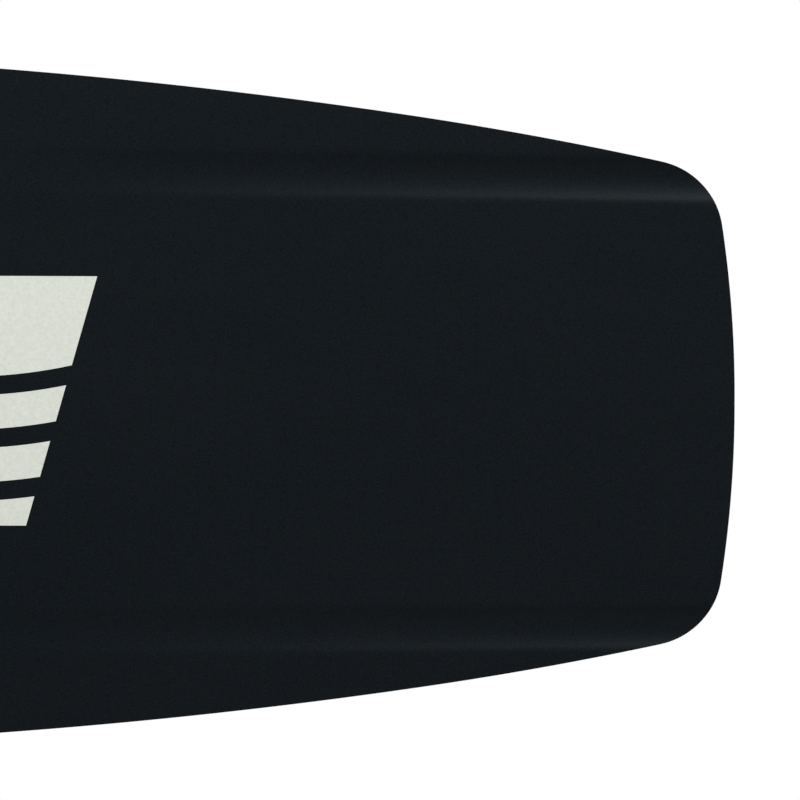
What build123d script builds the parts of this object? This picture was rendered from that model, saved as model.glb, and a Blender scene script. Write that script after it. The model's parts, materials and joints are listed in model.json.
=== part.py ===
"""Twin-tip kiteboard: layered board, grab handle and two foot pads with straps.

Frame: millimetres, +Z up, +X along the board, toes towards +Y. The board lies on its
belly, and the origin is under its middle, at the lowest point of the underside.
"""

from build123d import *
import math
import os

os.makedirs("parts", exist_ok=True)

# ---- board: driving dimensions ----
BOARD_LENGTH = 1380.0
BOARD_WIDTH = 408.6
SIDE_ARCS = ((3500.0, 8.3), (2230.0, 3.65), (76.0, 3.65), (45.2, 65.7))
UNDERSIDE_ROCKER = 6283.0
DECK_ROCKER = 7018.0
MID_THICKNESS = 12.0
DECK_CROWN = 2.8
SKIN = 0.6
STRIP_WIDTH = 5.0
BLOCK_HEIGHT = 80.0
CUT_DEPTH = 10.0

# ---- channels in the underside, one pair at each end ----
CHANNEL_START_X = 245.0
CHANNEL_TIP_X = 690.0
CHANNEL_WIDTH = 25.6
CHANNEL_START_Y = 135.2
CHANNEL_TIP_Y = 131.6
CHANNEL_TIP_DEPTH = 2.8
CHANNEL_MIN_DEPTH = 0.06

# ---- cream graphic let into the base sheet ----
GRAPHIC_HALF_HEIGHT = 73.2
GRAPHIC_MIDDLE_X = 236.0
GRAPHIC_HALF_LENGTH = 58.0
GRAPHIC_SLANT = 20.6
GRAPHIC_THICKNESS = 0.3
SWELL_GAP = 20.0
SWELL_BAND = 11.0
SWELL_RISE = 17.0

# ---- threaded inserts ----
INSERT_RADIUS = 5.0
INSERT_HEIGHT = 8.0
INSERT_FLANGE_RADIUS = 8.5
INSERT_FLANGE = 1.6
INSERT_RECESS = 0.2
THREAD_RADIUS = 2.5
THREAD_CLEARANCE = 0.05
INSERT_PITCH = 25.0
INSERTS_PER_ROW = 5
ROW_Y = 75.0

# ---- pads ----
PAD_X = 320.0
DUCK_ANGLE = 6.0
STANCE_SLOT_ANGLE = 9.0
DECK_GAP = 1.0
PLATE_TOP = 8.0
PLATE_EDGE = 1.5
PAD_HALF_WIDTH = 78.0
PAD_TOE = 132.0
PAD_HEEL = -140.0
PAD_CORNER = 46.0
WAIST_HALF_WIDTH = 67.6
WAIST_HALF_LENGTH = 34.0
WAIST_CORNER = 8.0
SLOT_HALF_WIDTH = 3.3
WASHER_RADIUS = 10.0
WASHER_THICKNESS = 3.0
WASHER_FLOOR = 4.0
WASHER_GAP = 0.3
POCKET_CLEARANCE = 0.6
FOOTBED_TOP = 22.0
FOOTBED_INSET = 2.0
ACCESS_HALF_WIDTH = 12.5
HEEL_POCKET_DEPTH = 6.0
HEEL_CENTRE_V = -112.0
HEEL_RADIUS_U = 34.0
HEEL_RADIUS_V = 20.0
TOE_BAR_V = 106.0
TOE_BAR_LENGTH = 104.0
TOE_BAR_WIDTH = 20.0
TOE_BAR_HEIGHT = 9.0

# ---- foot straps ----
STRAP_V = 20.0
PIVOT_W = 15.0
LUG_RADIUS = 13.5
LUG_THICKNESS = 4.0
LUG_FACE = 68.0
TANG_TOP = 52.0
BOSS_TOP = 24.0
BOSS_HALF_WIDTH = 13.0
BOSS_DEPTH = 20.0
BOSS_CORNER = 3.0
BOSS_EDGE = 2.0
STRAP_SPRING_W = 45.0
STRAP_END_W = 30.0
STRAP_INNER_U = 58.0
STRAP_INNER_RISE = 42.0
PADDING = 8.0
COVER = 2.0
STRAP_HALF_WIDTH = 50.0
STRAP_END_HALF_WIDTH = 20.0
STRAP_FULL_WIDTH_W = 76.0
STRAP_FLARE = 2.0
STRAP_BEND_RADIUS = 14.0
STRAP_CORNER = 6.0
FLAP_GAP = 0.4
FLAP = 3.0
FLAP_HALF_WIDTH = 23.0
FLAP_ROOT_ANGLE = 30.0
FLAP_END_ANGLE = 142.0
TAB = 3.0
TAB_HALF_WIDTH = 16.0
TAB_START_ANGLE = 126.0
TAB_END_ANGLE = 146.0

# ---- screws ----
HEAD_RADIUS = 5.75
HEAD_HEIGHT = 3.6
RECESS_LENGTH = 6.4
RECESS_WIDTH = 1.5
RECESS_DEPTH = 2.2
SMALL_WASHER_RADIUS = 7.0
SMALL_WASHER = 1.2

# ---- grab handle ----
HANDLE_HALF_SPACING = 80.0
HANDLE_GRIP_TOP = 56.0
HANDLE_ARCH_RADIUS = 420.0
HANDLE_BAR_WIDTH = 16.0
HANDLE_BAR_DEPTH = 9.0
HANDLE_LEG_X = 62.0
HANDLE_LEG_OUTER_X = 74.0
HANDLE_LEG_INNER_X = 59.0
HANDLE_KNEE = 2.0
HANDLE_FOOT_RADIUS = 14.0
HANDLE_FOOT_THICKNESS = 7.0
HANDLE_FOOT_LENGTH = 20.0
HANDLE_SEAT_RADIUS = 8.75
HANDLE_HOLE_RADIUS = 3.3
GRIP_HALF_LENGTH = 50.0
GRIP_RADIUS_Y = 12.0
GRIP_RADIUS_Z = 8.5

SIDES = (("left", -1), ("right", 1))


def arc_rise(radius, distance):
    """How far an arc of this radius has left its tangent at this distance."""
    return radius - math.sqrt(radius**2 - distance**2)


def deck_height(x):
    """Height of the deck's centreline."""
    return MID_THICKNESS + arc_rise(DECK_ROCKER, x)


def save(part, name):
    """Label one finished sub-part and write its file."""
    part.label = name
    export_step(part, f"parts/{name}.step")


# ---- outline of the board, seen from above ----
with BuildSketch() as outline:
    with BuildLine():
        start = (0, BOARD_WIDTH / 2)
        direction = (1, 0)
        for radius, angle in SIDE_ARCS:
            side = JernArc(start, direction, radius, -angle)
            start = side @ 1
            direction = side % 1
        TangentArc((start, (BOARD_LENGTH / 2, 0)), tangent=direction)
        mirror(about=Plane.XZ)
        mirror(about=Plane.YZ)
    make_face()

with BuildSketch() as core_outline:
    add(outline.sketch)
    offset(amount=-STRIP_WIDTH, mode=Mode.REPLACE)


# ---- everything below the underside: rockered, with a ridge for each channel ----
BLOCK_HALF_LENGTH = BOARD_LENGTH / 2 + 25
BLOCK_HALF_WIDTH = BOARD_WIDTH / 2 + 20
BLOCK_DEPTH = 60.0
END_STATIONS = 6
MIDDLE_STATIONS = 3


def underside_section(x):
    """Section across the underside: flat between two shallow channel arcs."""
    along = (abs(x) - CHANNEL_START_X) / (CHANNEL_TIP_X - CHANNEL_START_X)
    along = max(along, 0)
    depth = CHANNEL_MIN_DEPTH + (CHANNEL_TIP_DEPTH - CHANNEL_MIN_DEPTH) * along
    centre = CHANNEL_START_Y + (CHANNEL_TIP_Y - CHANNEL_START_Y) * along
    inner = centre - CHANNEL_WIDTH / 2
    outer = centre + CHANNEL_WIDTH / 2
    section_plane = Plane(
        origin=(x, 0, arc_rise(UNDERSIDE_ROCKER, x)), x_dir=(0, 1, 0), z_dir=(1, 0, 0)
    )
    with BuildSketch(section_plane) as section:
        with BuildLine():
            Line((-BLOCK_HALF_WIDTH, 0), (-outer, 0))
            ThreePointArc((-outer, 0), (-centre, depth), (-inner, 0))
            Line((-inner, 0), (inner, 0))
            ThreePointArc((inner, 0), (centre, depth), (outer, 0))
            Polyline(
                (outer, 0),
                (BLOCK_HALF_WIDTH, 0),
                (BLOCK_HALF_WIDTH, -BLOCK_DEPTH),
                (-BLOCK_HALF_WIDTH, -BLOCK_DEPTH),
                (-BLOCK_HALF_WIDTH, 0),
            )
        make_face()
    return section.sketch


end_step = (BLOCK_HALF_LENGTH - CHANNEL_START_X) / END_STATIONS
end_stations = [CHANNEL_START_X + end_step * step for step in range(1, END_STATIONS + 1)]
middle_step = CHANNEL_START_X / MIDDLE_STATIONS
middle_stations = [middle_step * step for step in range(-MIDDLE_STATIONS, MIDDLE_STATIONS + 1)]
stations = [-x for x in reversed(end_stations)] + middle_stations + end_stations

with BuildPart() as below_board:
    loft([underside_section(x) for x in stations])

# ---- everything above the deck: rockered along the board, crowned across it ----
deck_axis_height = MID_THICKNESS + DECK_ROCKER
deck_sweep = math.degrees(math.asin(BLOCK_HALF_LENGTH / DECK_ROCKER))
crown_radius = ((BOARD_WIDTH / 2) ** 2 + DECK_CROWN**2) / (2 * DECK_CROWN)
deck_start = Plane(
    origin=(-BLOCK_HALF_LENGTH, 0, deck_height(BLOCK_HALF_LENGTH)),
    x_dir=(0, 1, 0),
    z_dir=(math.cos(math.radians(deck_sweep)), 0, -math.sin(math.radians(deck_sweep))),
)

with BuildPart() as above_deck:
    with BuildSketch(deck_start):
        with BuildLine():
            edge_drop = -arc_rise(crown_radius, BLOCK_HALF_WIDTH)
            ThreePointArc((-BLOCK_HALF_WIDTH, edge_drop), (0, 0), (BLOCK_HALF_WIDTH, edge_drop))
            Polyline(
                (BLOCK_HALF_WIDTH, edge_drop),
                (BLOCK_HALF_WIDTH, BLOCK_HEIGHT),
                (-BLOCK_HALF_WIDTH, BLOCK_HEIGHT),
                (-BLOCK_HALF_WIDTH, edge_drop),
            )
        make_face()
    deck_axis = Axis((0, 0, deck_axis_height), (0, -1, 0))
    revolve(axis=deck_axis, revolution_arc=2 * deck_sweep)


def below(height):
    """The space below the underside, raised by this height."""
    return below_board.part.moved(Location((0, 0, height)))


def above(height):
    """The space above the deck, raised by this height."""
    return above_deck.part.moved(Location((0, 0, height)))


# ---- where the inserts, screws and pads sit ----
def deck_plane(sign):
    """Plane on the deck under one pad's middle, tilted with the rocker."""
    tilt = sign * math.asin(PAD_X / DECK_ROCKER)
    return Plane(
        origin=(sign * PAD_X, 0, deck_height(PAD_X)),
        x_dir=(math.cos(tilt), 0, math.sin(tilt)),
        z_dir=(-math.sin(tilt), 0, math.cos(tilt)),
    )


def pad_plane(sign):
    """The deck plane turned outwards by the stance angle: x across the foot, y to the toes."""
    deck = deck_plane(sign)
    turn = math.radians(-sign * DUCK_ANGLE)
    across = deck.x_dir * math.cos(turn) + deck.y_dir * math.sin(turn)
    return Plane(origin=deck.origin, x_dir=across, z_dir=deck.z_dir)


def arch_plane(pad):
    """Upright plane across the foot: x across the foot, y up."""
    origin = pad.from_local_coords((0, STRAP_V, 0))
    return Plane(origin=origin, x_dir=pad.x_dir, z_dir=-pad.y_dir)


def side_plane(pad):
    """Upright plane along the foot: x to the toes, y up."""
    origin = pad.from_local_coords((0, STRAP_V, 0))
    return Plane(origin=origin, x_dir=pad.y_dir, z_dir=pad.x_dir)


def insert_points(sign):
    """Places of one pad's inserts on its deck plane: two rows, from the pad inwards."""
    inward = [-sign * INSERT_PITCH * step for step in range(INSERTS_PER_ROW)]
    return [(x, y) for x in inward for y in (-ROW_Y, ROW_Y)]


insert_top = -(arc_rise(crown_radius, ROW_Y) + INSERT_RECESS)
handle_plane = Plane.XY.offset(deck_height(HANDLE_HALF_SPACING))
handle_points = [(-HANDLE_HALF_SPACING, 0), (HANDLE_HALF_SPACING, 0)]
insert_groups = (
    ("pad_inserts_left", deck_plane(-1), insert_points(-1), insert_top),
    ("pad_inserts_right", deck_plane(1), insert_points(1), insert_top),
    ("handle_inserts", handle_plane, handle_points, -INSERT_RECESS),
)


def insert_body(plane, points, top):
    """Inserts without their threads: a barrel on a wider flange."""
    with BuildPart() as body:
        with BuildSketch(plane.offset(top)):
            with Locations(*points):
                Circle(INSERT_RADIUS)
        extrude(amount=-INSERT_HEIGHT)
        with BuildSketch(plane.offset(top - INSERT_HEIGHT)):
            with Locations(*points):
                Circle(INSERT_FLANGE_RADIUS)
        extrude(amount=INSERT_FLANGE)
    return body.part


def insert_mouth(plane, points, top):
    """Space above the inserts, up through the deck."""
    with BuildPart() as mouth:
        with BuildSketch(plane.offset(top)):
            with Locations(*points):
                Circle(INSERT_RADIUS)
        extrude(amount=2 * SKIN)
    return mouth.part


insert_bodies = []
for insert_name, plane, points, top in insert_groups:
    solid = insert_body(plane, points, top)
    insert_bodies.append(solid)
    insert_bodies.append(insert_mouth(plane, points, top))
    with BuildPart() as inserts:
        add(solid)
        with BuildSketch(plane.offset(top)):
            with Locations(*points):
                Circle(THREAD_RADIUS)
        extrude(amount=-INSERT_HEIGHT, mode=Mode.SUBTRACT)
    save(inserts.part, insert_name)

# ---- cream graphic: a slanted panel with three dark swell bands across it ----
def graphic_panel(sign):
    """Flat shape of one panel; the far end's panel is turned half round."""
    with BuildSketch() as panel:
        with BuildLine():
            top = GRAPHIC_HALF_HEIGHT
            Polyline(
                (-GRAPHIC_HALF_LENGTH - GRAPHIC_SLANT, top),
                (GRAPHIC_HALF_LENGTH - GRAPHIC_SLANT, top),
                (GRAPHIC_HALF_LENGTH + GRAPHIC_SLANT, -top),
                (-GRAPHIC_HALF_LENGTH + GRAPHIC_SLANT, -top),
                close=True,
            )
        make_face()
        reach = GRAPHIC_HALF_LENGTH + 2 * GRAPHIC_SLANT
        for band in (-1, 0, 1):
            low = band * (SWELL_GAP + SWELL_BAND)
            with BuildLine():
                lower = ThreePointArc((-reach, low), (0, low + SWELL_RISE), (reach, low))
                upper = ThreePointArc(
                    (-reach, low + SWELL_BAND),
                    (0, low + SWELL_BAND + SWELL_RISE),
                    (reach, low + SWELL_BAND),
                )
                Line(lower @ 0, upper @ 0)
                Line(lower @ 1, upper @ 1)
            make_face(mode=Mode.SUBTRACT)
    turn = 0 if sign > 0 else 180
    return panel.sketch.moved(Location((sign * GRAPHIC_MIDDLE_X, 0, 0), (0, 0, turn)))


graphics = []
for side_name, sign in SIDES:
    with BuildPart() as graphic:
        with BuildSketch():
            add(graphic_panel(sign))
        extrude(amount=BLOCK_HEIGHT)
        add(below(GRAPHIC_THICKNESS), mode=Mode.INTERSECT)
        add(below(0), mode=Mode.SUBTRACT)
    graphics.append(graphic.part)
    save(graphic.part, f"base_graphic_{side_name}")

# ---- the board's layers, from the underside up ----
with BuildPart() as base_sheet:
    with BuildSketch():
        add(outline.sketch)
    extrude(amount=BLOCK_HEIGHT)
    add(below(SKIN), mode=Mode.INTERSECT)
    add(below(0), mode=Mode.SUBTRACT)
    add(graphics, mode=Mode.SUBTRACT)
save(base_sheet.part, "base_sheet")

with BuildPart() as bottom_laminate:
    with BuildSketch():
        add(outline.sketch)
    extrude(amount=BLOCK_HEIGHT)
    add(below(2 * SKIN), mode=Mode.INTERSECT)
    add(below(SKIN), mode=Mode.SUBTRACT)
save(bottom_laminate.part, "bottom_laminate")

with BuildPart() as wood_core:
    with BuildSketch():
        add(core_outline.sketch)
    extrude(amount=BLOCK_HEIGHT)
    add(below(2 * SKIN), mode=Mode.SUBTRACT)
    add(above(-2 * SKIN), mode=Mode.SUBTRACT)
    add(insert_bodies, mode=Mode.SUBTRACT)
save(wood_core.part, "wood_core")

with BuildPart() as edge_strip:
    with BuildSketch():
        add(outline.sketch)
        add(core_outline.sketch, mode=Mode.SUBTRACT)
    extrude(amount=BLOCK_HEIGHT)
    add(below(2 * SKIN), mode=Mode.SUBTRACT)
    add(above(-2 * SKIN), mode=Mode.SUBTRACT)
save(edge_strip.part, "edge_strip")

with BuildPart() as top_laminate:
    with BuildSketch():
        add(outline.sketch)
    extrude(amount=BLOCK_HEIGHT)
    add(above(-2 * SKIN), mode=Mode.INTERSECT)
    add(above(-SKIN), mode=Mode.SUBTRACT)
    add(insert_bodies, mode=Mode.SUBTRACT)
save(top_laminate.part, "top_laminate")

with BuildPart() as deck_sheet:
    with BuildSketch():
        add(outline.sketch)
    extrude(amount=BLOCK_HEIGHT)
    add(above(-SKIN), mode=Mode.INTERSECT)
    add(above(0), mode=Mode.SUBTRACT)
    add(insert_bodies, mode=Mode.SUBTRACT)
save(deck_sheet.part, "deck_sheet")


# ---- screws and washers ----
def screw(seat, points, length, thread_radius):
    """Pan-head screws with a cross recess; seat is the plane under the heads."""
    with BuildPart() as screws:
        with BuildSketch(seat):
            with Locations(*points):
                Circle(HEAD_RADIUS)
        extrude(amount=HEAD_HEIGHT)
        rims = screws.edges().filter_by(GeomType.CIRCLE).group_by(SortBy.LENGTH)[-1]
        top_rims = [rim for rim in rims if seat.to_local_coords(rim.center()).Z > HEAD_HEIGHT / 2]
        fillet(top_rims, HEAD_HEIGHT / 3)
        with BuildSketch(seat.offset(HEAD_HEIGHT)):
            with Locations(*points):
                Rectangle(RECESS_LENGTH, RECESS_WIDTH)
                Rectangle(RECESS_WIDTH, RECESS_LENGTH)
        extrude(amount=-RECESS_DEPTH, mode=Mode.SUBTRACT)
        with BuildSketch(seat):
            with Locations(*points):
                Circle(thread_radius)
        extrude(amount=-length)
    return screws.part


def washer(seat, points, radius, thickness, hole_radius):
    """Flat washers whose tops lie on the seat plane."""
    with BuildPart() as washers:
        with BuildSketch(seat):
            with Locations(*points):
                Circle(radius)
                Circle(hole_radius, mode=Mode.SUBTRACT)
        extrude(amount=-thickness)
    return washers.part


screw_radius = THREAD_RADIUS - THREAD_CLEARANCE
washer_hole = THREAD_RADIUS + 0.5

# ---- grab handle ----
handle_deck = deck_height(HANDLE_HALF_SPACING)
bar_centre_z = HANDLE_GRIP_TOP - GRIP_RADIUS_Z
foot_top = handle_deck + HANDLE_FOOT_THICKNESS
leg_drop = arc_rise(HANDLE_ARCH_RADIUS, HANDLE_LEG_X)
bar_half = HANDLE_BAR_DEPTH / 2

with BuildPart() as grab_handle_frame:
    with BuildSketch(Plane.XZ):
        with BuildLine():
            crest = ThreePointArc(
                (-HANDLE_LEG_X, bar_centre_z + bar_half - leg_drop),
                (0, bar_centre_z + bar_half),
                (HANDLE_LEG_X, bar_centre_z + bar_half - leg_drop),
            )
            belly = ThreePointArc(
                (-GRIP_HALF_LENGTH, bar_centre_z - bar_half - leg_drop),
                (0, bar_centre_z - bar_half),
                (GRIP_HALF_LENGTH, bar_centre_z - bar_half - leg_drop),
            )
            for end, sign in ((0, -1), (1, 1)):
                Polyline(
                    crest @ end,
                    (sign * HANDLE_LEG_OUTER_X, foot_top),
                    (sign * HANDLE_LEG_OUTER_X, handle_deck),
                    (sign * HANDLE_LEG_INNER_X, handle_deck),
                    (sign * HANDLE_LEG_INNER_X, foot_top + HANDLE_KNEE),
                    belly @ end,
                )
        make_face()
    extrude(amount=HANDLE_BAR_WIDTH / 2, both=True)
    with BuildSketch(handle_plane.offset(-HANDLE_KNEE)):
        with Locations(*handle_points):
            Circle(HANDLE_FOOT_RADIUS)
        with Locations((-HANDLE_LEG_OUTER_X + HANDLE_FOOT_LENGTH / 4, 0),
                       (HANDLE_LEG_OUTER_X - HANDLE_FOOT_LENGTH / 4, 0)):
            Rectangle(HANDLE_FOOT_LENGTH, 2 * (HANDLE_FOOT_RADIUS - HANDLE_KNEE))
    extrude(amount=HANDLE_FOOT_THICKNESS + HANDLE_KNEE)
    with BuildSketch(handle_plane.offset(HANDLE_FOOT_THICKNESS)):
        with Locations(*handle_points):
            Circle(HANDLE_SEAT_RADIUS)
    extrude(amount=BLOCK_HEIGHT, mode=Mode.SUBTRACT)
    with BuildSketch(handle_plane.offset(-HANDLE_KNEE)):
        with Locations(*handle_points):
            Circle(HANDLE_HOLE_RADIUS)
    extrude(amount=BLOCK_HEIGHT, mode=Mode.SUBTRACT)
    add(above(0), mode=Mode.INTERSECT)
save(grab_handle_frame.part, "grab_handle_frame")

with BuildPart() as grab_handle_grip:
    grip_drop = arc_rise(HANDLE_ARCH_RADIUS, GRIP_HALF_LENGTH)
    with BuildLine(Plane.XZ):
        grip_path = ThreePointArc(
            (-GRIP_HALF_LENGTH + 2, bar_centre_z - grip_drop),
            (0, bar_centre_z),
            (GRIP_HALF_LENGTH - 2, bar_centre_z - grip_drop),
        )
    with BuildSketch(Plane(origin=grip_path @ 0, x_dir=(0, 1, 0), z_dir=grip_path % 0)):
        Ellipse(GRIP_RADIUS_Y, GRIP_RADIUS_Z)
    sweep(path=grip_path)
    add(grab_handle_frame.part, mode=Mode.SUBTRACT)
save(grab_handle_grip.part, "grab_handle_grip")

handle_seat = handle_plane.offset(HANDLE_FOOT_THICKNESS + SMALL_WASHER)
handle_screw_length = HANDLE_FOOT_THICKNESS + SMALL_WASHER + INSERT_HEIGHT - 1
save(screw(handle_seat, handle_points, handle_screw_length, screw_radius), "handle_screws")
handle_washers = washer(
    handle_seat, handle_points, SMALL_WASHER_RADIUS, SMALL_WASHER, washer_hole
)
save(handle_washers, "handle_washers")


# ---- one foot pad ----
def pad_outline(inset):
    """Rounded pad with a waist where the strap is bolted on."""
    with BuildSketch() as shape:
        with Locations((0, (PAD_TOE + PAD_HEEL) / 2)):
            RectangleRounded(
                2 * (PAD_HALF_WIDTH - inset),
                PAD_TOE - PAD_HEEL - 2 * inset,
                PAD_CORNER - inset,
            )
        waist_width = 2 * (PAD_HALF_WIDTH - WAIST_HALF_WIDTH)
        waist_length = 2 * (WAIST_HALF_LENGTH + inset)
        for sign in (-1, 1):
            with Locations((sign * (PAD_HALF_WIDTH - inset), STRAP_V)):
                RectangleRounded(waist_width, waist_length, WAIST_CORNER, mode=Mode.SUBTRACT)
    return shape.sketch


def stance_slots(half_width, extra_angle):
    """Arc slots round the pad's middle, one over each row of inserts."""
    half_angle = STANCE_SLOT_ANGLE + extra_angle
    with BuildSketch() as slots:
        for middle in (90, 270):
            with BuildLine(mode=Mode.PRIVATE) as path:
                CenterArc((0, 0), ROW_Y, middle - half_angle, 2 * half_angle)
            SlotArc(path.edges()[0], 2 * half_width)
    return slots.sketch


def strap_side_shape(end_w):
    """Side view of the strap: narrow at its bolted ends, wide over the foot."""
    with BuildSketch() as shape:
        with BuildLine():
            Polyline(
                (-STRAP_END_HALF_WIDTH, end_w),
                (STRAP_END_HALF_WIDTH, end_w),
                (STRAP_END_HALF_WIDTH + STRAP_FLARE, STRAP_SPRING_W),
                (STRAP_HALF_WIDTH, STRAP_FULL_WIDTH_W),
                (STRAP_HALF_WIDTH, 2 * STRAP_FULL_WIDTH_W),
                (-STRAP_HALF_WIDTH, 2 * STRAP_FULL_WIDTH_W),
                (-STRAP_HALF_WIDTH, STRAP_FULL_WIDTH_W),
                (-STRAP_END_HALF_WIDTH - STRAP_FLARE, STRAP_SPRING_W),
                close=True,
            )
        make_face()
        bends = [v for v in shape.vertices() if end_w + 1 < v.Y < STRAP_FULL_WIDTH_W + 1]
        fillet(bends, STRAP_BEND_RADIUS)
        fillet(shape.vertices().group_by(Axis.Y)[0], STRAP_CORNER)
    return shape.sketch


def strap_arch(inner_growth, outer_growth):
    """Front view of a band over the foot: upright sides under half an ellipse."""
    with BuildSketch() as shape:
        for growth, mode in ((outer_growth, Mode.ADD), (inner_growth, Mode.SUBTRACT)):
            half_span = STRAP_INNER_U + growth
            with Locations((0, STRAP_SPRING_W)):
                Ellipse(half_span, STRAP_INNER_RISE + growth, mode=mode)
            with Locations((0, STRAP_SPRING_W / 2)):
                Rectangle(2 * half_span, STRAP_SPRING_W, mode=mode)
    return shape.sketch


def strap_band(pad, inner_growth, outer_growth):
    """A band over the foot, cut to the strap's side view."""
    with BuildPart() as band:
        with BuildSketch(arch_plane(pad)):
            add(strap_arch(inner_growth, outer_growth))
        extrude(amount=STRAP_HALF_WIDTH, both=True)
        with BuildSketch(side_plane(pad)):
            add(strap_side_shape(STRAP_END_W))
        extrude(amount=2 * STRAP_INNER_U, both=True, mode=Mode.INTERSECT)
    return band.part


def arc_band(pad, sign, inner, outer, angles, half_width):
    """Part of a band between two angles round the ellipse; sign -1 mirrors it."""
    first, last = angles
    with BuildPart() as band:
        with BuildSketch(arch_plane(pad)):
            with BuildLine():
                lower = EllipticalCenterArc(
                    (0, STRAP_SPRING_W), STRAP_INNER_U + inner, STRAP_INNER_RISE + inner,
                    start_angle=first, arc_size=last - first,
                )
                upper = EllipticalCenterArc(
                    (0, STRAP_SPRING_W), STRAP_INNER_U + outer, STRAP_INNER_RISE + outer,
                    start_angle=first, arc_size=last - first,
                )
                Line(lower @ 0, upper @ 0)
                Line(lower @ 1, upper @ 1)
            make_face()
            if sign > 0:
                mirror(about=Plane.YZ, mode=Mode.REPLACE)
        extrude(amount=half_width, both=True)
    return band.part


def pivot_plane(pad, sign, u):
    """Upright plane across the pivot line, facing outwards on one side of the foot."""
    origin = pad.from_local_coords((sign * u, STRAP_V, PIVOT_W))
    return Plane(origin=origin, x_dir=pad.y_dir * sign, z_dir=pad.x_dir * sign)


cover_growth = PADDING + COVER
flap_growth = cover_growth + FLAP_GAP
tab_growth = flap_growth + FLAP
washer_top = WASHER_FLOOR + WASHER_GAP + WASHER_THICKNESS
screw_length = washer_top - insert_top + INSERT_HEIGHT - 1
pivot_seat = LUG_FACE + LUG_THICKNESS + WASHER_GAP + SMALL_WASHER
pivot_length = pivot_seat - WAIST_HALF_WIDTH + BOSS_DEPTH - 4

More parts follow.
